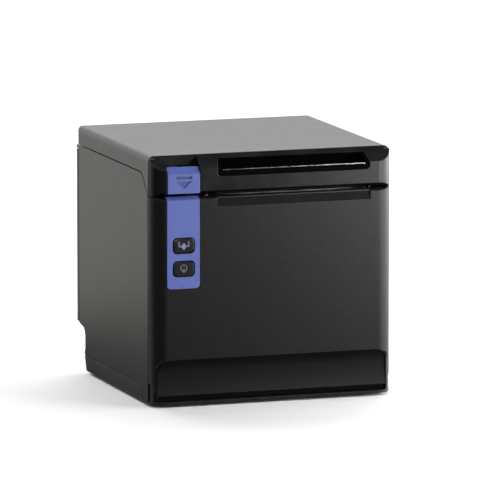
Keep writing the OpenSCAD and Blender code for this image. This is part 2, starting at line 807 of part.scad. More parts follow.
module power_button() {
    color([0.1, 0.1, 0.1]) push_button(power_z);
}

panel_board_y = front_y + 7.4;
module panel_board() {
    color("darkgreen") difference() {
        box([bezel_x0 + 1, panel_board_y, 62], [bezel_x1 - 1, panel_board_y + 1.2, 100]);
        for (z = [65, 97]) rod_y(button_x, panel_board_y - over, panel_board_y + 2, z, 1.2);
    }
    color("black") for (z = [feed_z, power_z]) {
        box([button_x - 2.2, panel_board_y - 1, z - 2.2], [button_x + 2.2, panel_board_y, z + 2.2]);
        rod_y(button_x, panel_board_y - 1.4, panel_board_y - 0.9, z, 1.1);
    }
    color("white") box([-54, panel_board_y + 1.2, 88], [-46, panel_board_y + 4.2, 92]);
}

module rear_cover() {
    color("dimgray") difference() {
        intersection() {
            translate([0, 0, bay_top_z + 1.5]) linear_extrude(cover_top_z - bay_top_z - 1.5)
                plan(half_w, 40, rear_y, 1, 3);
            along_x(-half_w, half_w) polygon(concat(
                [[cover_y, 0], [rear_y, 0]],
                arc([rear_y - cover_r, cover_top_z - cover_r], cover_r, 0, 90),
                arc([cover_y + cover_r, cover_top_z - cover_r], cover_r, 90, 180)
            ));
        }
        box([-inner_x, 0, bay_top_z + 1.5 + wall], [inner_x, rear_y - wall, cover_top_z - wall]);
        for (i = [0:7]) box([-24.5 + i * 6, rear_y - 5, 80], [-22 + i * 6, rear_y + over, 100]);
    }
    color("dimgray") for (s = [-1, 1], z = [40, 108]) difference() {
        rod_y(s * 56, case_rear_y, rear_y - wall + 0.2, z, 2.6);
        rod_y(s * 56, case_rear_y - over, rear_y - wall, z, screw_r);
    }
}

/* Paper bin and decks */

module bin_outline(t) {
    translate([roll_y, roll_z]) circle(roll_r + t);
    translate([roll_y - roll_r - t, roll_z]) square([2 * (roll_r + t), 117.5 - roll_z]);
}

module paper_bin() {
    color([0.13, 0.13, 0.13]) difference() {
        along_x(paper_x0 - bin_wall, paper_x1 + bin_wall) bin_outline(bin_wall);
        along_x(paper_x0, paper_x1) {
            bin_outline(0);
            translate([roll_y - roll_r, roll_z]) square([2 * roll_r, 80]);
        }
        box([paper_x0, roll_y - roll_r - 5, 103], [paper_x1, roll_y, body_h]);
        rod_y(paper_x, roll_y - roll_r - 5, roll_y - 30, 92, 3.2);
    }
}

deck_z = 115.6;
module top_deck() {
    color([0.13, 0.13, 0.13]) difference() {
        union() {
            box([-inner_x + 0.2, -30, deck_z], [inner_x - 0.2, 56.4, deck_z + 1.4]);
            for (x = [[-inner_x + 0.2, gear_plate_x - 1.4], [arm_x1 - 0.6, inner_x - 0.2]]) {
                box([x[0], -56, 105.5], [x[1], -28.6, 107]);
                box([x[0], -30, 105.5], [x[1], -28.6, deck_z + 1.4]);
            }
        }
        box([paper_x0 - bin_wall - 0.1, roll_y - roll_r - bin_wall - 0.1, 100],
            [paper_x1 + bin_wall + 0.1, roll_y + roll_r + bin_wall + 0.1, body_h]);
        box([gear_plate_x - 1.2, -40, 100], [paper_x0, -28.4, body_h]);
    }
}

module paper_guide() {
    color([0.13, 0.13, 0.13]) difference() {
        along_x(paper_x0 - 0.6, paper_x1 + 0.6) polygon([
            [-30.6, 100], [-30.6, 102.6], [-38.6, 107.6], [-38.6, 105.8], [-32.2, 101.8], [-32.2, 100]
        ]);
        box([paper_x - 4, -37, 95], [paper_x + 4, -33, 110]);
    }
}

module paper_sensor() {
    color("black") box([paper_x - 3.6, -36.6, 100.5], [paper_x + 3.6, -33.4, 103.2]);
    color("black") box([paper_x - 6, -36.6, 98.5], [paper_x + 6, -33.4, 100.5]);
}

/* Print mechanism */

// Steel side plate with a notch open at the top for the platen bush
module side_plate(x0, side) {
    foot_x0 = side < 0 ? x0 - 6 : x0;
    difference() {
        union() {
            box([x0, frame_front_y, bottom_z + wall], [x0 + plate_t, frame_back_y, frame_top_z]);
            box([foot_x0, frame_front_y, bottom_z + wall],
                [foot_x0 + plate_t + 6, frame_back_y, bottom_z + wall + plate_t]);
        }
        rod_x(x0 - over, x0 + plate_t + over, platen_y, platen_z, bush_r + 0.4);
        along_x(x0 - over, x0 + plate_t + over) polygon([
            [platen_y - bush_r - 0.4, platen_z], [platen_y + bush_r + 0.4, platen_z],
            [platen_y + bush_r + 0.8, frame_top_z + over], [platen_y - bush_r - 1.6, frame_top_z + over]
        ]);
        along_x(x0 - over, x0 + plate_t + over)
            round_rect([-52, 24], [-36, 66], 3);
        for (y = frame_screw_y) translate([foot_x0 + (side < 0 ? 3 : plate_t + 3), y, 0])
            cylinder(h = 10, r = 1.5);
    }
}

module frame_left() {
    color("silver") side_plate(frame_x0, -1);
    color("silver") rod_x(frame_x0 - 3.2, frame_x0 + 0.1, catch_y, catch_z, catch_r);
}

module frame_right() {
    color("silver") side_plate(frame_x1, 1);
    color("silver") rod_x(frame_x1 + plate_t - 0.1, frame_x1 + plate_t + 3.2, catch_y, catch_z, catch_r);
}

// Gear plate on stand-offs; it carries the idler stud and the motor
module gear_plate() {
    color("silver") difference() {
        union() {
            along_x(gear_plate_x, gear_plate_x + plate_t) round_rect([-56, 62], [-12, 104], 3);
            rod_x(gear_plate_x, gear_x + gear_t + 0.3, idler_y, idler_z, 1.5);
            for (p = [[-53.5, 66], [-33.5, 66], [-53.5, 84]])
                rod_x(gear_plate_x, frame_x0, p.x, p.y, 2);
        }
        rod_x(gear_plate_x - over, gear_plate_x + 3, pinion_y, pinion_z, 5);
        for (a = [45, 225]) rod_x(gear_plate_x - over, gear_plate_x + 3,
            pinion_y + 15.6 * cos(a), pinion_z + 15.6 * sin(a), 1.5);
    }
}

motor_r = 17.4;
module feed_motor() {
    color("gray") difference() {
        union() {
            rod_x(-inner_x + 1.3, gear_plate_x - 0.8, pinion_y, pinion_z, motor_r - 0.6);
            rod_x(gear_plate_x - 0.9, gear_plate_x, pinion_y, pinion_z, motor_r);
        }
        rod_x(gear_plate_x - 3, gear_plate_x + over, pinion_y, pinion_z, 0.95);
    }
}

head_y0 = -54.6;
head_y1 = -39.4;
module thermal_head() {
    color("ivory") difference() {
        box([paper_x0 - 0.8, head_y0, nip_z - 1.4], [paper_x1 + 0.8, head_y1, nip_z - 0.25]);
        for (x = [paper_x0 + 2, paper_x1 - 2]) translate([x, -42, 100]) cylinder(h = 20, r = 1);
    }
    color("ivory") along_x(paper_x0, paper_x1)
        polygon(concat([[platen_y - 1.4, nip_z - 0.6]], arc([platen_y, nip_z - 2.6], 2.6, 120, 60, 6),
            [[platen_y + 1.4, nip_z - 0.6]]));
}

module heat_sink() {
    color("silver") difference() {
        box([paper_x0 - 0.8, head_y0, 99], [paper_x1 + 0.8, head_y1, nip_z - 1.4]);
        for (i = [0:3]) box([paper_x0 - 2, head_y0 + 2 + i * 3.4, 98],
            [paper_x1 + 2, head_y0 + 3.6 + i * 3.4, 103.5]);
    }
}

spring_x = [-20, paper_x, 42];
module head_bracket() {
    color("silver") difference() {
        union() {
            box([frame_x0 + plate_t, head_y0, 87.6], [frame_x1, head_y1, 88.8]);
            box([frame_x0 + plate_t, head_y1 - 1.2, 84.6], [frame_x1, head_y1, 88.8]);
        }
        for (x = [-8, 30]) translate([x, platen_y, 80]) cylinder(h = 20, r = 2);
    }
}

// Compression springs under the print head
module head_springs() {
    color("silver") for (x = spring_x, i = [0:6])
        translate([x, platen_y, 89.15 + i * 1.582]) rotate_extrude() translate([2.6, 0]) circle(0.35);
}

module cutter_frame() {
    color("silver") difference() {
        union() {
            box([frame_x0 + plate_t, -56.2, 62], [frame_x1, -55, 106.8]);
            for (x = [frame_x0 + plate_t, frame_x1 - 1.8])
                box([x, -58.6, 86], [x + 1.8, -55.5, 106.8]);
        }
        rod_y(cutter_x, -60, -50, cutter_z, 3.2);
        for (x = [-14, 30]) along_y(-60, -50) round_rect([x - 5, 68], [x + 5, 84], 2);
    }
}

module cutter_motor() {
    color("gray") difference() {
        union() {
            rod_y(cutter_x, -55, -54, cutter_z, 5);
            rod_y(cutter_x, -54.2, -36, cutter_z, 8);
            rod_y(cutter_x, -36.1, -34.6, cutter_z, 3);
        }
        rod_y(cutter_x, -57, -50, cutter_z, 1.05);
    }
}

// Moving blade with its rack; the cutting edge is a shallow V
rack_x = cutter_x + cutter_pitch + 0.06;
module cutter_blade() {
    color("silver") along_y(blade_y, blade_y + blade_t) polygon([
        [paper_x0 + 0.5, 92], [paper_x1 - 0.5, 92], [paper_x1 - 0.5, 107.9],
        [paper_x, 106.4], [paper_x0 + 0.5, 107.9]
    ]);
    color("silver") along_y(blade_y - 0.9, blade_y + blade_t) difference() {
        translate([rack_x - 0.5, cutter_z - 11]) square([4.5, 29]);
        for (i = [-5:9]) translate([rack_x, cutter_z + (i - 3) * PI * rack_module]) polygon([
            [-over, -0.85], [0.75, -0.32], [0.75, 0.32], [-over, 0.85]
        ]);
    }
}

module cutter_pinion() {
    color("gold") translate([cutter_x, blade_y + 0.5, cutter_z]) rotate([90, 0, 0])
        linear_extrude(1.6) spur_outline(rack_module, cutter_teeth);
    color("silver") rod_y(cutter_x, blade_y + 0.4, -51, cutter_z, 1);
}

/* Electronics */

board_x = -60.6;
board_screw_y = [-2.5, 44.5];
board_screw_z = [32, 104];
module main_board() {
    color("darkgreen") difference() {
        box([board_x, -6, 28], [board_x + 1.6, 48, 108]);
        for (y = board_screw_y, z = board_screw_z) rod_x(board_x - over, board_x + 3, y, z, 1.5);
    }
}

module board_parts() {
    color("black") box([-59, 4, 62], [-57.4, 24, 82]);
    color("black") box([-59, 30, 66], [-57.8, 42, 78]);
    color("black") box([-59, 8, 88], [-57.6, 20, 96]);
    color("white") for (z = [40, 52]) box([-59, 6, z], [-53, 34, z + 6]);
    color("navy") for (y = [28, 38]) rod_x(-59, -47, y, 95, 4);
}

module connector_board() {
    color("darkgreen") difference() {
        box([-58, 18, connector_z], [58, 46.6, connector_z + connector_t]);
        for (x = [-52, 52]) translate([x, 22, 0]) cylinder(h = 10, r = 1.5);
    }
}

// Sheet that forms the cable bay behind and above the sockets
bay_t = 1.5;
socket_y = 48.6;
jack_z = connector_z + connector_t;
module cable_bay() {
    color([0.13, 0.13, 0.13]) difference() {
        along_x(-inner_x + 0.1, inner_x - 0.1) polygon([
            [46.7, bottom_z + wall], [socket_y, bottom_z + wall], [socket_y, 21.4],
            [54.4, 24.8], [case_rear_y, 25.3], [case_rear_y, 26.9], [53.8, 26.4], [46.7, 22.2]
        ]);
        for (s = socket_list) box([s[0] - s[1] / 2 - 0.2, 40, jack_z - 0.2],
            [s[0] + s[1] / 2 + 0.2, 60, jack_z + s[2] + 0.2]);
    }
}

// Sockets: centre, width and height
power_s = [-44, 14, 12.6];
usb_s = [-16, 12.2, 11.2];
lan_s = [14, 16.2, 13.4];
drawer_s = [44, 14.4, 12];
socket_list = [power_s, usb_s, lan_s, drawer_s];

module socket_body(s, depth) {
    box([s[0] - s[1] / 2, socket_y - depth, jack_z], [s[0] + s[1] / 2, socket_y, jack_z + s[2]]);
}

// Round power inlet with three contacts at its end
module power_inlet() {
    zc = jack_z + power_s[2] / 2;
    color("black") difference() {
        socket_body(power_s, 16);
        rod_y(power_s[0], socket_y - 11, socket_y + over, zc, 4.8);
    }
    color("gold") for (a = [90, 210, 330]) rod_y(power_s[0] + 2.8 * cos(a), socket_y - 11.2,
        socket_y - 7, zc + 2.8 * sin(a), 0.6);
}

module interface_socket() {
    zc = jack_z + usb_s[2] / 2;
    color("silver") difference() {
        socket_body(usb_s, 16);
        along_y(socket_y - 10, socket_y + over) polygon([
            [usb_s[0] - 4.3, zc - 4], [usb_s[0] + 4.3, zc - 4], [usb_s[0] + 4.3, zc + 2.4],
            [usb_s[0] + 2.7, zc + 4], [usb_s[0] - 2.7, zc + 4], [usb_s[0] - 4.3, zc + 2.4]
        ]);
    }
    color("white") box([usb_s[0] - 2.8, socket_y - 10.2, zc - 1.5], [usb_s[0] + 2.8, socket_y - 2, zc + 1.5]);
}

// Modular jack with a latch notch below the plug opening
module modular_jack(s, plug_w, plug_h, depth) {
    zc = jack_z + s[2] / 2 + 0.8;
    difference() {
        socket_body(s, depth);
        box([s[0] - plug_w / 2, socket_y - depth + 4, zc - plug_h / 2],
            [s[0] + plug_w / 2, socket_y + over, zc + plug_h / 2]);
        box([s[0] - 3.2, socket_y - depth + 4, zc - plug_h / 2 - 1.6],
            [s[0] + 3.2, socket_y + over, zc]);
    }
}

module network_socket() {
    color("silver") modular_jack(lan_s, 11.9, 6.9, 19);
}

module drawer_socket() {
    color("black") modular_jack(drawer_s, 9.9, 6.8, 17);
}

/* Feet and screws */

module feet() {
    color([0.06, 0.06, 0.06]) for (x = [-foot_x, foot_x], y = [foot_front_y, foot_back_y])
        translate([x, y, 0]) cylinder(h = bottom_z + 1, r = foot_r);
}

module base_screws() {
    color("silver") for (x = frame_screw_x, y = frame_screw_y) difference() {
        union() {
            translate([x, y, bottom_z + 0.2]) cylinder(h = 4, r = 1.5);
            translate([x, y, bottom_z + wall + plate_t]) cylinder(h = 1.4, r = 2.6);
        }
        translate([x, y, bottom_z + wall + plate_t + 0.7]) cylinder(h = 2, r = 1, $fn = 6);
    }
}

base_tray();
main_case();
front_panel();
rear_cover();
control_bezel();
paper_bin();
top_deck();
paper_guide();
frame_left();
frame_right();
gear_plate();
feed_motor();
thermal_head();
heat_sink();
head_bracket();
head_springs();
cutter_frame();
cutter_motor();
main_board();
board_parts();
connector_board();
cable_bay();
power_inlet();
interface_socket();
network_socket();
drawer_socket();
panel_board();
paper_sensor();
hinge_pins();
feet();
base_screws();
lid_shell();
lid_facia();
slot_insert();
platen_holder();
fixed_blade();
platen_bushes();
latch_spring();
lid_screws();
platen_shaft();
platen_roller();
platen_gear();
idler_gear();
motor_pinion();
release_lever();
latch_hooks();
feed_button();
power_button();
cutter_blade();
cutter_pinion();
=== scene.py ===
# %% [markdown]
# # Finishing a counter-top receipt printer
# The printer arrives as a frame of exact parts: shells, keys, lever, rollers, gears and sheet metal.
# This lesson gives those parts the surfaces they have in a shop: spark-grained charcoal plastic, a
# satin blue lever and key strip, plated steel, ground rollers and a soldered board. It also adds the
# small things that are not worth a solid model: printed key marks, socket contacts, a bright lip in
# the paper slot and a dark sheet of painted shade on the dip under the gap.

# %% Load the frame
import json
import math

import bmesh
import bpy
from mathutils import Matrix, Vector


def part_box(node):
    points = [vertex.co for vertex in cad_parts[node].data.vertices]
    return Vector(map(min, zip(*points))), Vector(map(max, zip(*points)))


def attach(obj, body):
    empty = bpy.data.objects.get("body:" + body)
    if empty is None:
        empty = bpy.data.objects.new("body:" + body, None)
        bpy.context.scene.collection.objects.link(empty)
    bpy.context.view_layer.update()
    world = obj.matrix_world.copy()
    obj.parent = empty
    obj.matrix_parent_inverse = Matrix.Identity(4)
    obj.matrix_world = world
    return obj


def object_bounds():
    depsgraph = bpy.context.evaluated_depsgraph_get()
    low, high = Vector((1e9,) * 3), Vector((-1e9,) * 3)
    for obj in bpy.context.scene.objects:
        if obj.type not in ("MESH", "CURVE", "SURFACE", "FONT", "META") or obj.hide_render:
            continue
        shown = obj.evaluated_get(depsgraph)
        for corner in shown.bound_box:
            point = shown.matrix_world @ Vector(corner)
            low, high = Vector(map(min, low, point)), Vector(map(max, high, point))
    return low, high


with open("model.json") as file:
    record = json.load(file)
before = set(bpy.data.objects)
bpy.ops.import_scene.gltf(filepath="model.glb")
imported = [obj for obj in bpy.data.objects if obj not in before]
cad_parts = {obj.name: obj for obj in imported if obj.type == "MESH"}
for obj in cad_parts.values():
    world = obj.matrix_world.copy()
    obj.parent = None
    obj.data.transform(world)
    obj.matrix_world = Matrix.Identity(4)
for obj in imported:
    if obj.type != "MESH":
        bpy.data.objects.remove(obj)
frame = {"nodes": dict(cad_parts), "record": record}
cad_low, cad_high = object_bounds()
nodes = frame["nodes"]

# %% [markdown]
# Everything in Blender is in metres. The real parts are drawn in millimetres, so one short constant
# keeps the lesson readable: `3 * MM` is three millimetres.

# %% Millimetres
MM = 0.001
size_mm = [round((high - low) / MM, 1) for low, high in zip(cad_low, cad_high)]
print("printer, mm:", size_mm)

# %% [markdown]
# ## Node helpers
# A material is a small graph. Wiring it by hand takes three lines for each node, so `add_node` makes
# a node, sets its options and fills its sockets in one go. A value that is a socket gets a link, and
# any other value is typed in. The other helpers are short names for the nodes that come up most.

# %% A node with its sockets filled
def add_node(tree, kind, sockets=None, **options):
    node = tree.nodes.new(kind)
    for name, value in options.items():
        setattr(node, name, value)
    for key, value in (sockets or {}).items():
        if isinstance(value, bpy.types.NodeSocket):
            tree.links.new(value, node.inputs[key])
        else:
            node.inputs[key].default_value = value
    return node


def math_node(tree, operation, *values):
    sockets = dict(enumerate(values))
    return add_node(tree, "ShaderNodeMath", sockets, operation=operation).outputs[0]


def away_from(tree, value, centre):
    return math_node(tree, "ABSOLUTE", math_node(tree, "SUBTRACT", value, centre))


def mix_colours(tree, share, first, second):
    sockets = {0: share, 6: first, 7: second}
    return add_node(tree, "ShaderNodeMix", sockets, data_type="RGBA").outputs[2]


def spread(tree, value, low, high, start=0.3, end=0.7):
    sockets = {"Value": value, "From Min": start, "From Max": end, "To Min": low, "To Max": high}
    return add_node(tree, "ShaderNodeMapRange", sockets).outputs["Result"]


# %% [markdown]
# Patterns take a real size. A noise with a scale of one over its size repeats about once in that
# length, so a grain of 0.4 mm stays 0.4 mm on every part, whatever the size of the part.

# %% Patterns with a real size
def cloud(tree, where, size, detail=3.0, stretch=None):
    if stretch:
        where = add_node(tree, "ShaderNodeMapping", {"Vector": where, "Scale": stretch}).outputs[0]
    sockets = {"Vector": where, "Scale": 1 / size, "Detail": detail, "Roughness": 0.6}
    return add_node(tree, "ShaderNodeTexNoise", sockets).outputs["Fac"]


def pits(tree, where, size):
    sockets = {"Vector": where, "Scale": 1 / size, "Randomness": 1.0}
    return add_node(tree, "ShaderNodeTexVoronoi", sockets).outputs["Distance"]


def object_place(tree):
    return add_node(tree, "ShaderNodeTexCoord").outputs["Object"]


# %% [markdown]
# ## Edges
# Hands polish the corners of a plastic case, and plating wears first on an edge. The Bevel node
# looks a little way round each point. Where its averaged normal leaves the true one, there is an
# edge nearby. That difference makes a mask without any unwrapping.

# %% A mask for nearby edges
def edge_mask(tree, reach):
    soft = add_node(tree, "ShaderNodeBevel", {"Radius": reach}, samples=4).outputs["Normal"]
    true = add_node(tree, "ShaderNodeNewGeometry").outputs["Normal"]
    same = add_node(tree, "ShaderNodeVectorMath", {0: soft, 1: true}, operation="DOT_PRODUCT")
    return spread(tree, same.outputs["Value"], 1.0, 0.0, 0.75, 0.99)


# %% [markdown]
# Every finish starts from the same plain shader, then gets a colour, a roughness and a height. The
# next cell holds those shared steps, so that each finish below is only its own pattern.

# %% Steps that all finishes share
def new_finish(name, colour, metallic=0.0, specular=0.5):
    material = bpy.data.materials.new(name)
    material.use_nodes = True
    shader = material.node_tree.nodes["Principled BSDF"]
    shader.inputs["Base Color"].default_value = (*colour, 1)
    shader.inputs["Metallic"].default_value = metallic
    shader.inputs["Specular IOR Level"].default_value = specular
    return material, material.node_tree, shader


def shade(colour, factor):
    return (*[min(1, channel * factor) for channel in colour], 1)


def paint(tree, shader, tone, dull):
    tree.links.new(tone, shader.inputs["Base Color"])
    tree.links.new(dull, shader.inputs["Roughness"])


def raise_surface(tree, shader, height, depth, normal=None):
    sockets = {"Strength": 1.0, "Distance": depth, "Height": height}
    if normal is not None:
        sockets["Normal"] = normal
    bump = add_node(tree, "ShaderNodeBump", sockets)
    tree.links.new(bump.outputs["Normal"], shader.inputs["Normal"])


# %% [markdown]
# ## Moulded plastic
# The case is moulded in a tool whose steel was spark eroded, which leaves a fine dull grain. Three
# patterns make it: small pits and grains in the bump, a slow cloud in the colour where the plastic
# flowed, and finger smudges in the roughness. The grain is what spreads the highlights. Pieces too
# thin for a real rounded edge take `soft`, the width in millimetres of an edge that is rounded only
# in how it catches the light.

# %% Plastic
RUB_AND_SHEEN_REACH, FLOW_SIZE, TOUCH_SIZE = 0.45 * MM, 22 * MM, 9 * MM
RUBBED_GLOSS = 0.12


def plastic(name, colour, rough, grain=0.3, depth=0.02, drift=0.12, smudge=0.05, rub=0.3,
            specular=0.5, soft=0.0):
    material, tree, shader = new_finish(name, colour, specular=specular)
    where = object_place(tree)
    flow = cloud(tree, where, FLOW_SIZE)
    fleck = cloud(tree, where, grain * MM, 1.0)
    tone = mix_colours(tree, flow, shade(colour, 1 - drift), shade(colour, 1 + drift))
    grains = spread(tree, fleck, 0.0, 1.0)
    grains = mix_colours(tree, grains, shade(colour, 0.8), shade(colour, 1.3))
    tone = mix_colours(tree, 0.5, tone, grains)
    rub_and_sheen = spread(tree, flow, 0.3 * rub, rub)
    worn = math_node(tree, "MULTIPLY", edge_mask(tree, RUB_AND_SHEEN_REACH), rub_and_sheen)
    # edges lightened in colour: partly rubbed wear, partly a painted highlight along the edges
    tone = mix_colours(tree, worn, tone, shade(colour, 2.2))
    touched = cloud(tree, where, TOUCH_SIZE, 4.0)
    dull = spread(tree, touched, rough - smudge, rough + smudge)
    gloss = spread(tree, worn, 0.0, RUBBED_GLOSS, 0.0, 1.0)
    paint(tree, shader, tone, math_node(tree, "SUBTRACT", dull, gloss))
    normal = None
    if soft:
        rounded = add_node(tree, "ShaderNodeBevel", {"Radius": soft * MM}, samples=6)
        normal = rounded.outputs["Normal"]
    height = math_node(tree, "ADD", fleck, pits(tree, where, 1.6 * grain * MM))
    raise_surface(tree, shader, height, depth * MM, normal)
    return material


# %% The plastics of this printer
CASE, BASE, MATT = (0.0022, 0.0022, 0.002), (0.0035, 0.0035, 0.0033), (0.002, 0.002, 0.002)
FACIA, INNER, BLUE = (0.0025, 0.0025, 0.0027), (0.005, 0.005, 0.005), (0.072, 0.1, 0.315)
PART, GEAR, BUSH = (0.014, 0.014, 0.015), (0.66, 0.62, 0.5), (0.7, 0.69, 0.64)
PLASTICS = {
    "case_plastic": dict(colour=CASE, rough=0.42, grain=0.45, depth=0.03, smudge=0.01),
    "base_plastic": dict(colour=BASE, rough=0.46, specular=0.42),
    "throat_plastic": dict(colour=MATT, rough=0.6, specular=0.0, soft=0.15),
    # matt sheet laid on the dip under the gap: painted shade
    "dip_shade_plastic": dict(colour=MATT, rough=0.6, specular=0.14),
    "facia_plastic": dict(colour=FACIA, rough=0.33, grain=0.35, depth=0.012, rub=0.15, soft=0.25),
    "inner_plastic": dict(colour=INNER, rough=0.42, grain=0.5, rub=0.2),
    "blue_plastic": dict(colour=BLUE, rough=0.42, grain=0.35, depth=0.012, drift=0.05, rub=0.25,
                         soft=0.3),
    "key_plastic": dict(colour=INNER, rough=0.38, grain=0.3, depth=0.01),
    "part_black": dict(colour=PART, rough=0.5, grain=0.4),
    "gear_plastic": dict(colour=GEAR, rough=0.35, grain=0.8, depth=0.006, drift=0.06, rub=0.1),
    "bush_plastic": dict(colour=BUSH, rough=0.32, grain=0.8, depth=0.006, drift=0.05, rub=0.1),
}
finishes = {name: plastic(name, **values) for name, values in PLASTICS.items()}
print("plastics:", sorted(finishes))

# %% [markdown]
# ## Metal
# Sheet parts are rolled and plated, shafts and blades are ground, sinks are milled. All of them show
# fine parallel lines, so one function stretches a noise along the direction of the work and puts it
# in the roughness and the bump. Plating adds soft patches.

# %% Metal with a lay
PLATED_REACH, PATCH_SIZE = 0.3 * MM, 7 * MM


def metal(name, colour, rough, lay=(1, 1, 1), line=0.12, depth=0.004, patch=0.12, rub=0.5):
    material, tree, shader = new_finish(name, colour, metallic=1.0)
    where = object_place(tree)
    edges = edge_mask(tree, PLATED_REACH)
    lines = cloud(tree, where, line * MM, 2.0, stretch=lay)
    patches = cloud(tree, where, PATCH_SIZE, 4.0)
    tone = spread(tree, patches, 0.0, 1.0)
    tone = mix_colours(tree, tone, shade(colour, 1 - patch), shade(colour, 1 + patch))
    worn = spread(tree, edges, 0.0, rub, 0.0, 1.0)
    tone = mix_colours(tree, worn, tone, shade(colour, 1.35))
    along = spread(tree, lines, -0.07, 0.07)
    dull = spread(tree, patches, rough - 0.05, rough + 0.08)
    paint(tree, shader, tone, math_node(tree, "ADD", along, dull))
    raise_surface(tree, shader, lines, depth * MM)
    return material


# %% The metals of this printer
ALONG_X, ALONG_Z, TURNED = (0.03, 1, 1), (1, 1, 0.03), (1, 0.05, 0.05)
finishes.update({
    "steel_sheet": metal("steel_sheet", (0.5, 0.5, 0.48), 0.36, ALONG_Z),
    "steel_ground": metal("steel_ground", (0.56, 0.56, 0.57), 0.22, TURNED, line=0.08),
    "heat_sink_metal": metal("heat_sink_metal", (0.62, 0.63, 0.65), 0.34, ALONG_X, line=0.2,
                             depth=0.008),
    "brass_metal": metal("brass_metal", (0.66, 0.47, 0.19), 0.3, ALONG_X),
    "motor_metal": metal("motor_metal", (0.33, 0.33, 0.34), 0.4, ALONG_X, line=0.3, patch=0.2),
    # painted shade: the blade steel is coloured near black because little light reaches it
    "blade_metal_painted_shade": metal("blade_metal_painted_shade", (0.04, 0.04, 0.045), 0.4, ALONG_X, patch=0.2, rub=0.3),
    "socket_metal": metal("socket_metal", (0.6, 0.58, 0.54), 0.25, ALONG_X, patch=0.06),
})
print("metals:", [name for name in finishes if "metal" in name or "steel" in name])

# %% [markdown]
# ## Rubber
# The platen is silicone rubber turned on a lathe: dull, with faint rings round it. The feet are the
# same stuff, pressed, so their pattern has no direction.

# %% Rubber
RING_SIZE, DUST_SIZE, RING_DEPTH = 0.25 * MM, 4 * MM, 0.02 * MM


def rubber(name, colour, ring_stretch):
    material, tree, shader = new_finish(name, colour, specular=0.35)
    where = object_place(tree)
    rings = cloud(tree, where, RING_SIZE, 2.0, stretch=ring_stretch)
    dust = spread(tree, cloud(tree, where, DUST_SIZE, 5.0), 0.0, 0.6, 0.45, 0.75)
    tone = mix_colours(tree, dust, shade(colour, 1), shade(colour, 2.6))
    paint(tree, shader, tone, spread(tree, rings, 0.58, 0.8))
    raise_surface(tree, shader, rings, RING_DEPTH)
    return material


finishes["roller_rubber"] = rubber("roller_rubber", (0.018, 0.018, 0.019), (1, 0.04, 0.04))
finishes["foot_rubber"] = rubber("foot_rubber", (0.012, 0.012, 0.012), (1, 1, 1))
print("rubbers: roller and feet")

# %% [markdown]
# ## Ceramic
# The print head is glazed ceramic with one brown heater line where the roller touches it. The line
# is found from the roller, so it stays under the nip if the roller is moved in the design. Its dark
# colour is partly the dark overcoat such heads have and partly painted shade, since little light
# reaches the head under the gap.

# %% Glazed ceramic with its heater line
HEATER_BROWN = (0.12, 0.07, 0.045, 1)
GLAZE_SIZE, GLAZE_DEPTH = 5 * MM, 0.004 * MM


def ceramic(name, colour, line_y, line_width):
    material, tree, shader = new_finish(name, colour)
    where = object_place(tree)
    glaze = cloud(tree, where, GLAZE_SIZE, 3.0)
    tone = mix_colours(tree, glaze, shade(colour, 0.9), shade(colour, 1.05))
    across = add_node(tree, "ShaderNodeSeparateXYZ", {0: where}).outputs["Y"]
    away = away_from(tree, across, line_y)
    heater = spread(tree, away, 1.0, 0.0, 0.8 * line_width, line_width)
    tone = mix_colours(tree, heater, tone, HEATER_BROWN)
    paint(tree, shader, tone, spread(tree, glaze, 0.1, 0.2))
    raise_surface(tree, shader, glaze, GLAZE_DEPTH)
    return material


roller_low, roller_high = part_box("platen_roller")
nip_y = (roller_low.y + roller_high.y) / 2
# dark glaze colour: partly the dark overcoat of such heads, partly painted shade under the gap
finishes["ceramic"] = ceramic("ceramic", (0.035, 0.03, 0.028), nip_y, 0.8 * MM)
print("heater line at y, mm:", round(nip_y / MM, 1))

# %% [markdown]
# ## Circuit board
# The boards are green lacquer over copper tracks. Square cells of one pattern give the tracks, which
# stand a little proud, and the pits of another give the tinned holes.

# %% Lacquered board with copper tracks
TRACK_SIZE, TRACK_DEPTH, HOLE_SIZE = 1.1 * MM, 0.03 * MM, 2.7 * MM
LACQUER, COPPER, TIN = (0.012, 0.11, 0.045), (0.02, 0.2, 0.075), (0.6, 0.58, 0.5, 1)


def board(name):
    material, tree, shader = new_finish(name, LACQUER)
    where = object_place(tree)
    sockets = {"Vector": where, "Scale": 1 / TRACK_SIZE, "Randomness": 0.4}
    options = {"distance": "CHEBYCHEV", "feature": "F2"}
    cells = add_node(tree, "ShaderNodeTexVoronoi", sockets, **options).outputs["Distance"]
    tracks = spread(tree, cells, 0.0, 1.0, 0.5, 0.56)
    tone = mix_colours(tree, tracks, shade(LACQUER, 1), shade(COPPER, 1))
    holes = spread(tree, pits(tree, where, HOLE_SIZE), 1.0, 0.0, 0.1, 0.14)
    tone = mix_colours(tree, holes, tone, TIN)
    paint(tree, shader, tone, spread(tree, cloud(tree, where, 3 * MM), 0.22, 0.4))
    raise_surface(tree, shader, tracks, TRACK_DEPTH)
    return material


finishes["board_green"] = board("board_green")
print("finishes:", len(finishes))

# %% [markdown]
# ## Dressing the frame
# The record says which material slot each part has, so one loop dresses all of them. A few parts
# look different from the rest of their slot: the base is a little lighter than the case, the cable
# bay matches the case that surrounds it, the frame of the slot is matt so that it reads as a hole,
# and the blades and their carrier are coloured dark as painted shade, since little light reaches
# them.

# %% Give each part its finish
looks_like = {
    "base_tray": "base_plastic", "cable_bay": "case_plastic", "slot_insert": "throat_plastic",
    "cutter_blade": "blade_metal_painted_shade", "fixed_blade": "blade_metal_painted_shade", "cutter_frame": "blade_metal_painted_shade",
}
for part in frame["record"]["subparts"]:
    name = part["node"]
    finish = finishes[looks_like.get(name, part["material_slot"])]
    nodes[name].data.materials.clear()
    nodes[name].data.materials.append(finish)

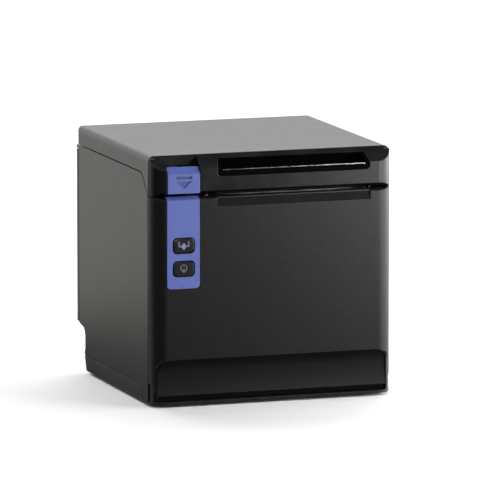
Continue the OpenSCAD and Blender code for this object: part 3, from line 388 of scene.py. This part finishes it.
# %% [markdown]
# ## Moulded edges
# No moulded edge is perfectly sharp. A Weld closes the loose triangles of the frame and a small
# Bevel rounds every edge sharper than 28 degrees. The steps are modifiers, so the exact parts
# underneath stay as they were drawn. The two largest shells first lose the needless edges in their
# flat walls, so that no faint line shows on them. Thin pieces with close cut-outs, such as the facia
# and the blue strip, have no room for a Bevel, and their finish softens the edge instead.

# %% Round the edges of the shells
EDGE_MM = {
    "lid_shell": 0.25, "front_panel": 0.12, "main_case": 0.2, "base_tray": 0.2,
    "rear_cover": 0.25, "feed_button": 0.4, "power_button": 0.4, "cable_bay": 0.2,
}
FLAT_FIRST = {"main_case", "rear_cover"}
WELD_REACH, FLAT_ANGLE, SHARP_ANGLE = 0.002 * MM, math.radians(0.5), math.radians(28)


def round_edges(part, width):
    weld = part.modifiers.new("weld", "WELD")
    weld.merge_threshold = WELD_REACH
    if part.name in FLAT_FIRST:
        flat = part.modifiers.new("flat", "DECIMATE")
        flat.decimate_type = "DISSOLVE"
        flat.angle_limit = FLAT_ANGLE
    bevel = part.modifiers.new("edge", "BEVEL")
    bevel.width = width
    bevel.segments = 2
    bevel.limit_method = "ANGLE"
    bevel.angle_limit = SHARP_ANGLE
    bevel.use_clamp_overlap = False
    bevel.miter_outer = "MITER_ARC"
    even = part.modifiers.new("shading", "WEIGHTED_NORMAL")
    even.keep_sharp = False


for name, width in EDGE_MM.items():
    round_edges(nodes[name], width * MM)
print("rounded:", len(EDGE_MM))

# %% [markdown]
# ## Strokes as distances
# The marks are drawn without any mesh. For each stroke a few nodes work out how far a point lies
# from it, with a negative value inside. The smallest of those distances is the whole mark, and its
# edge is as crisp as the render allows.

# %% Distance to a bar, a ring and an arrow head
def bar_distance(tree, x, z, centre, half):
    across = math_node(tree, "SUBTRACT", away_from(tree, x, centre[0]), half[0])
    along = math_node(tree, "SUBTRACT", away_from(tree, z, centre[1]), half[1])
    return math_node(tree, "MAXIMUM", across, along)


def ring_distance(tree, x, z, centre, radius, half):
    from_x = math_node(tree, "SUBTRACT", x, centre[0])
    from_z = math_node(tree, "SUBTRACT", z, centre[1])
    flat = add_node(tree, "ShaderNodeCombineXYZ", {0: from_x, 1: from_z}).outputs[0]
    reach = add_node(tree, "ShaderNodeVectorMath", {0: flat}, operation="LENGTH")
    return math_node(tree, "SUBTRACT", away_from(tree, reach.outputs["Value"], radius), half)


def arrow_distance(tree, x, z, apex, top, slope):
    wide = math_node(tree, "MULTIPLY", math_node(tree, "SUBTRACT", z, apex), slope)
    inside = math_node(tree, "SUBTRACT", math_node(tree, "ABSOLUTE", x), wide)
    return math_node(tree, "MAXIMUM", inside, math_node(tree, "SUBTRACT", z, top))


# %% [markdown]
# A part with a mark needs a finish of its own, so each takes a copy of its slot's finish and adds to
# the colour of the copy.

# %% A copy of a finish for one part
def own_finish(node, base, ending):
    material = finishes[base].copy()
    material.name = node + ending
    nodes[node].data.materials[0] = material
    tree = material.node_tree
    place = add_node(tree, "ShaderNodeSeparateXYZ", {0: object_place(tree)}).outputs
    return tree, tree.nodes["Principled BSDF"].inputs["Base Color"], place


# %% [markdown]
# ## The lever's mark
# The mark on the lever is a shallow recess in the solid part. Its floor gets painted shade: its
# colour is darkened so that it looks darker than the face, as the shade in the recess would make it.
# The floor is told from the face by its depth.

# %% Paint shade on the floor of the recess
RECESS_DEPTH, RECESS_PAINTED_SHADE = 0.6 * MM, 0.72
RECESS_CEILING, RECESS_FADE = 5.0 * MM, 4.8 * MM


def paint_recess_shade(node, depth, factor):
    low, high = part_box(node)
    tree, base, place = own_finish(node, "blue_plastic", "_painted_recess_shade")
    y, z = place["Y"], place["Z"]
    deep = spread(tree, y, 0.0, 1.0, low.y + 0.1 * MM, low.y + 0.75 * depth)
    near = spread(tree, y, 1.0, 0.0, low.y + 1.2 * depth, low.y + 1.5 * depth)
    under_top = spread(tree, z, 1.0, 0.0, high.z - RECESS_CEILING, high.z - RECESS_FADE)
    # painted shade: the mask picks out the floor of the recess, and the colour there is multiplied
    # darker
    mask = math_node(tree, "MULTIPLY", math_node(tree, "MULTIPLY", deep, near), under_top)
    under = base.links[0].from_socket
    sockets = {0: 1.0, 6: under, 7: (factor, factor, factor, 1)}
    dark = add_node(tree, "ShaderNodeMix", sockets, data_type="RGBA", blend_type="MULTIPLY")
    tree.links.new(mix_colours(tree, mask, under, dark.outputs[2]), base)


paint_recess_shade("release_lever", RECESS_DEPTH, RECESS_PAINTED_SHADE)
print("recess shaded, mm deep:", RECESS_DEPTH / MM)

# %% [markdown]
# ## Printed key marks
# The two keys carry pale pad prints: a feed mark (an arrow into a tray) and a power mark (a bar
# through a ring). The ink is far thinner than any mesh, so it is only colour. Each stroke is given
# in millimetres about the middle of its key, and the ink is held to the front face.

# %% Print a mark on a key
STROKE_EDGE = 0.04
INK_FROM, INK_TO = 0.2 * MM, 0.25 * MM


def print_mark(key, strokes, ink):
    low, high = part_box(key)
    tree, base, place = own_finish(key, "key_plastic", "_printed")
    x = math_node(tree, "MULTIPLY_ADD", place["X"], 1 / MM, -(low.x + high.x) / 2 / MM)
    z = math_node(tree, "MULTIPLY_ADD", place["Z"], 1 / MM, -(low.z + high.z) / 2 / MM)
    nearest = None
    for shape, *sizes in strokes:
        distance = shape(tree, x, z, *sizes)
        if nearest is not None:
            distance = math_node(tree, "MINIMUM", nearest, distance)
        nearest = distance
    on_face = spread(tree, place["Y"], 1.0, 0.0, low.y + INK_FROM, low.y + INK_TO)
    inked = spread(tree, nearest, 1.0, 0.0, -STROKE_EDGE, STROKE_EDGE)
    patchy = spread(tree, cloud(tree, object_place(tree), 0.5 * MM), 0.75, 1.0, 0.3, 0.6)
    mask = math_node(tree, "MULTIPLY", math_node(tree, "MULTIPLY", inked, on_face), patchy)
    under = base.links[0].from_socket
    tree.links.new(mix_colours(tree, mask, under, (*ink, 1)), base)


FEED_MARK = [
    (bar_distance, (-2.6, 0.9), (0.25, 1.4)), (bar_distance, (2.6, 0.9), (0.25, 1.4)),
    (bar_distance, (-2.05, -0.3), (0.55, 0.22)), (bar_distance, (2.05, -0.3), (0.55, 0.22)),
    (bar_distance, (0, 0.6), (0.7, 0.6)), (arrow_distance, -2.2, 0.1, 0.87),
]
POWER_MARK = [(ring_distance, (0, 0.45), 1.65, 0.22), (bar_distance, (0, -0.8), (0.25, 1.25))]
print_mark("feed_button", FEED_MARK, (0.17, 0.19, 0.32))
print_mark("power_button", POWER_MARK, (0.13, 0.13, 0.2))
print("strokes:", len(FEED_MARK), "and", len(POWER_MARK))

# %% [markdown]
# ## Socket contacts
# A modular jack has sprung gilt wires that slope back from its roof, and a square data socket has two
# flat contacts on each side of its tongue. They are plain strips, all of one kind, so one outline
# extruded along X makes them all.

# %% Strips of one outline
def strip(name, outline, centre_x, width, body="housing", slot="brass_metal", finish=None):
    shape = bmesh.new()
    corners = [shape.verts.new((centre_x - width / 2, y, z)) for y, z in outline]
    face = shape.faces.new(corners)
    grown = bmesh.ops.extrude_face_region(shape, geom=[face])["geom"]
    moved = [item for item in grown if isinstance(item, bmesh.types.BMVert)]
    bmesh.ops.translate(shape, vec=(width, 0, 0), verts=moved)
    bmesh.ops.recalc_face_normals(shape, faces=shape.faces)
    data = bpy.data.meshes.new(name)
    shape.to_mesh(data)
    shape.free()
    piece = bpy.data.objects.new(name, data)
    data.materials.append(finishes[finish or slot])
    bpy.context.scene.collection.objects.link(piece)
    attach(piece, body)
    return piece


# %% Wires of the modular jacks
CONTACT_PITCH, CONTACT_WIDTH, WIRE = 1.02 * MM, 0.4 * MM, 0.3 * MM
JACK_RISE, WIRE_START, WIRE_BEND, WIRE_DROP = 0.8 * MM, 2.5 * MM, 0.8 * MM, 2.2 * MM


def jack_contacts(node, count, plug_height, reach):
    low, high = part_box(node)
    roof = (low.z + high.z) / 2 + JACK_RISE + plug_height / 2
    front, back = high.y - WIRE_START, high.y - WIRE_START - reach
    outline = [
        (front, roof + WIRE), (front, roof - 0.2 * MM), (back, roof - WIRE_DROP),
        (back, roof - WIRE_DROP + WIRE), (front - WIRE_BEND, roof + WIRE),
    ]
    middle = (low.x + high.x) / 2
    for i in range(count):
        x = middle + (i - (count - 1) / 2) * CONTACT_PITCH
        strip(f"{node}_contact_{i + 1}", outline, x, CONTACT_WIDTH)
    return count


made = jack_contacts("network_socket", 8, 6.9 * MM, 9 * MM)
made += jack_contacts("drawer_socket", 6, 6.8 * MM, 8 * MM)
print("jack wires:", made)

# %% Flats of the square socket
FLAT_NEAR, FLAT_FAR, FLAT_WIDTH, FLAT_OFFSET = 1.35 * MM, 1.65 * MM, 1.1 * MM, 1.25 * MM
FLAT_ROOT, FLAT_TIP, FLAT_EDGE = 9.5 * MM, 2.6 * MM, 2.9 * MM


def tongue_contacts(node):
    low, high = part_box(node)
    middle_x, middle_z = (low.x + high.x) / 2, (low.z + high.z) / 2
    places = [(-1, -1), (1, -1), (-1, 1), (1, 1)]
    for i, (side_x, side_z) in enumerate(places):
        near, far = middle_z + side_z * FLAT_NEAR, middle_z + side_z * FLAT_FAR
        outline = [
            (high.y - FLAT_ROOT, near), (high.y - FLAT_TIP, near),
            (high.y - FLAT_EDGE, far), (high.y - FLAT_ROOT, far),
        ]
        x = middle_x + side_x * FLAT_OFFSET
        strip(f"{node}_contact_{i + 1}", outline, x, FLAT_WIDTH)
    return len(places)


made += tongue_contacts("interface_socket")
print("contacts:", made)

# %% [markdown]
# ## Lip and shade sheet
# Paper leaves over a thin bright lip at the foot of the slot, where a torn receipt breaks. Under the
# gap the panel dips, and a matt black sheet laid on the dip is painted shade: it darkens the dip as
# the shade under the gap would. Both are straight strips, so they use the same outline tool as the
# contacts. The lip opens with the lid and the sheet stays with the housing.

# %% Slot lip
SLOT_SIDES, LIP_RISE = 4.9 * MM, 2.95 * MM
LIP_PROUD, LIP_DEEP, LIP_BELOW, LIP_ABOVE = 0.05 * MM, 1.4 * MM, 0.15 * MM, 0.2 * MM
slot_low, slot_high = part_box("slot_insert")
slot_x, slot_width = (slot_low.x + slot_high.x) / 2, slot_high.x - slot_low.x - SLOT_SIDES
lip_y, lip_z = slot_low.y, slot_low.z + LIP_RISE
lip_outline = [
    (lip_y - LIP_PROUD, lip_z - LIP_BELOW), (lip_y + LIP_DEEP, lip_z - LIP_BELOW),
    (lip_y + LIP_DEEP, lip_z + LIP_ABOVE), (lip_y - LIP_PROUD, lip_z + LIP_ABOVE),
]
strip("slot_lip", lip_outline, slot_x, slot_width, body="lid", slot="steel_ground")
print("lip width, mm:", round(slot_width / MM, 2))

# %% Painted shade sheet on the dip
DIP_LOW_Z, DIP_HIGH_Z, DIP_SLOPE, DIP_SET_BACK = 102.75 * MM, 106.85 * MM, 1.4 / 7.05, 0.4 * MM
DIP_LOW_X, DIP_HIGH_X = -30.15 * MM, 52.45 * MM
SHADE_SHEET_PROUD, SHADE_SHEET_DEEP = 0.08 * MM, 0.3 * MM
panel_low, panel_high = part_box("front_panel")
dip_low_y = panel_low.y + DIP_SET_BACK
dip_high_y = dip_low_y + DIP_SLOPE * (DIP_HIGH_Z - DIP_LOW_Z)
# painted shade: a matt black strip laid on the dip's surface to darken it
shade_sheet_outline = [
    (dip_low_y - SHADE_SHEET_PROUD, DIP_LOW_Z), (dip_low_y + SHADE_SHEET_DEEP, DIP_LOW_Z),
    (dip_high_y + SHADE_SHEET_DEEP, DIP_HIGH_Z), (dip_high_y - SHADE_SHEET_PROUD, DIP_HIGH_Z),
]
strip("dip_shade_sheet", shade_sheet_outline, (DIP_LOW_X + DIP_HIGH_X) / 2, DIP_HIGH_X - DIP_LOW_X,
      slot="inner_plastic", finish="dip_shade_plastic")
print("panel, mm:", [round(v / MM, 2) for v in (*panel_low, *panel_high)])

# %% [markdown]
# ## Table
# The printer stands on a pale table with a faint fibre in it. The table does not show in reflections,
# which keeps the dark plastic from going milky near its foot.

# %% Table
def table_finish():
    material, tree, shader = new_finish("table_white", (0.86, 0.86, 0.86), specular=0.2)
    fibre = cloud(tree, object_place(tree), 2 * MM, 3.0)
    tone = mix_colours(tree, fibre, (0.85, 0.85, 0.85, 1), (0.88, 0.88, 0.88, 1))
    tree.links.new(tone, shader.inputs["Base Color"])
    shader.inputs["Roughness"].default_value = 0.8
    return material


def flat_sheet(name, half, finish, turn=Matrix()):
    sheet = bmesh.new()
    bmesh.ops.create_grid(sheet, x_segments=1, y_segments=1, size=half, matrix=turn)
    data = bpy.data.meshes.new(name)
    sheet.to_mesh(data)
    sheet.free()
    data.materials.append(finish)
    thing = bpy.data.objects.new(name, data)
    bpy.context.scene.collection.objects.link(thing)
    return thing


table = flat_sheet("table", 12, table_finish())
table.visible_glossy = False
print("table:", table.name)

# %% [markdown]
# ## A dark card
# In a product booth, black card stands near a glossy thing to shape its reflections. This one is low
# and behind, so the side of the printer fades towards the table. It is seen only in reflections: it
# casts no shadow and the camera does not see it.

# %% Dark card behind
card_finish = new_finish("card_black", (0.01, 0.01, 0.01), specular=0.0)[0]
card = flat_sheet("dark_card", 0.5, card_finish, Matrix.Rotation(math.radians(90), 4, "X"))
card.matrix_world = (
    Matrix.Translation((-0.55, 0.3, -0.065)) @ Matrix.Diagonal((1.0, 1.0, 0.1, 1.0))
)
card.visible_camera = card.visible_diffuse = card.visible_shadow = False
print("card:", card.name)

# %% [markdown]
# ## Room and lights
# The room is bright near the horizon and dim overhead, which is what a product booth does, so that
# flat tops go silver and slopes that face the ceiling stay dark. Four soft boxes do the rest: a key
# from the front left, a small one beside the front, a wide rim on the right and one for the table.

# %% Room
BACKDROP, AMBIENT = 1.6, 0.004
world = bpy.data.worlds.new("booth")
world.use_nodes = True
room = world.node_tree
facing = add_node(room, "ShaderNodeTexCoord").outputs["Generated"]
height_up = add_node(room, "ShaderNodeSeparateXYZ", {0: facing}).outputs["Z"]
sockets = {0: facing, 1: (0.1, 0.995, 0)}
behind = add_node(room, "ShaderNodeVectorMath", sockets, operation="DOT_PRODUCT")
behind = spread(room, behind.outputs["Value"], 0.0, 1.0, -0.2, 0.6)
below_top = spread(room, height_up, 1.0, 0.0, 0.25, 0.7)
lift = spread(room, height_up, 0.45, 1.0, -0.3, 0.12)
wall = math_node(room, "MULTIPLY", math_node(room, "MULTIPLY", behind, below_top), lift)
wall = spread(room, wall, AMBIENT, BACKDROP, 0.0, 1.0)
background = room.nodes["Background"]
warmth = spread(room, height_up, 0.0, 1.0, -0.2, 0.1)
warm = mix_colours(room, warmth, (1, 0.99, 0.93, 1), (1, 1, 1, 1))
room.links.new(warm, background.inputs["Color"])
room.links.new(wall, background.inputs["Strength"])
bpy.context.scene.world = world
print("room:", world.name)

# %% Lights
def soft_box(name, place, aim, width, height, watts):
    light = bpy.data.lights.new(name, "AREA")
    light.shape = "RECTANGLE"
    light.size, light.size_y = width, height
    light.energy = watts
    holder = bpy.data.objects.new(name, light)
    turn = (Vector(aim) - Vector(place)).to_track_quat("-Z", "Y").to_matrix().to_4x4()
    holder.matrix_world = Matrix.Translation(place) @ turn
    holder.visible_camera = False
    bpy.context.scene.collection.objects.link(holder)


soft_box("key", (-1.3, -1.3, 1.9), (0, 0, 0.06), 1.6, 1.6, 40)
soft_box("side", (0.228, -0.345, 0.14), (0.06, -0.065, 0.085), 0.12, 0.22, 0.62)
soft_box("rim", (0.75, -0.15, 0.22), (0.06, -0.05, 0.07), 1.2, 0.5, 12)
soft_box("table_fill", (0.2, 1.8, 2.2), (0, 1.0, 0), 2.5, 1.5, 70)

# %% [markdown]
# ## Camera
# A long lens from a few metres away keeps the upright edges nearly parallel, as in a catalogue. The
# camera looks down a little from the front left, so the front, the left side and the top all show.

# %% Camera
CAMERA_PLACE, CAMERA_AIM = (-1.1278, -3.3522, 0.6199), (0.31744, 0.93571, -0.15385)
camera_data = bpy.data.cameras.new("camera")
camera_data.sensor_width = 36
camera_data.lens = 496.8
camera = bpy.data.objects.new("camera", camera_data)
look = Vector(CAMERA_AIM).normalized()
side = look.cross(Vector((0, 0, 1))).normalized()
turn = Matrix((side, side.cross(look), -look)).transposed()
camera.matrix_world = Matrix.Translation(CAMERA_PLACE) @ turn.to_4x4()
bpy.context.scene.collection.objects.link(camera)
bpy.context.scene.camera = camera
bpy.context.scene.view_settings.view_transform = "Standard"
print("lens, mm:", camera_data.lens)
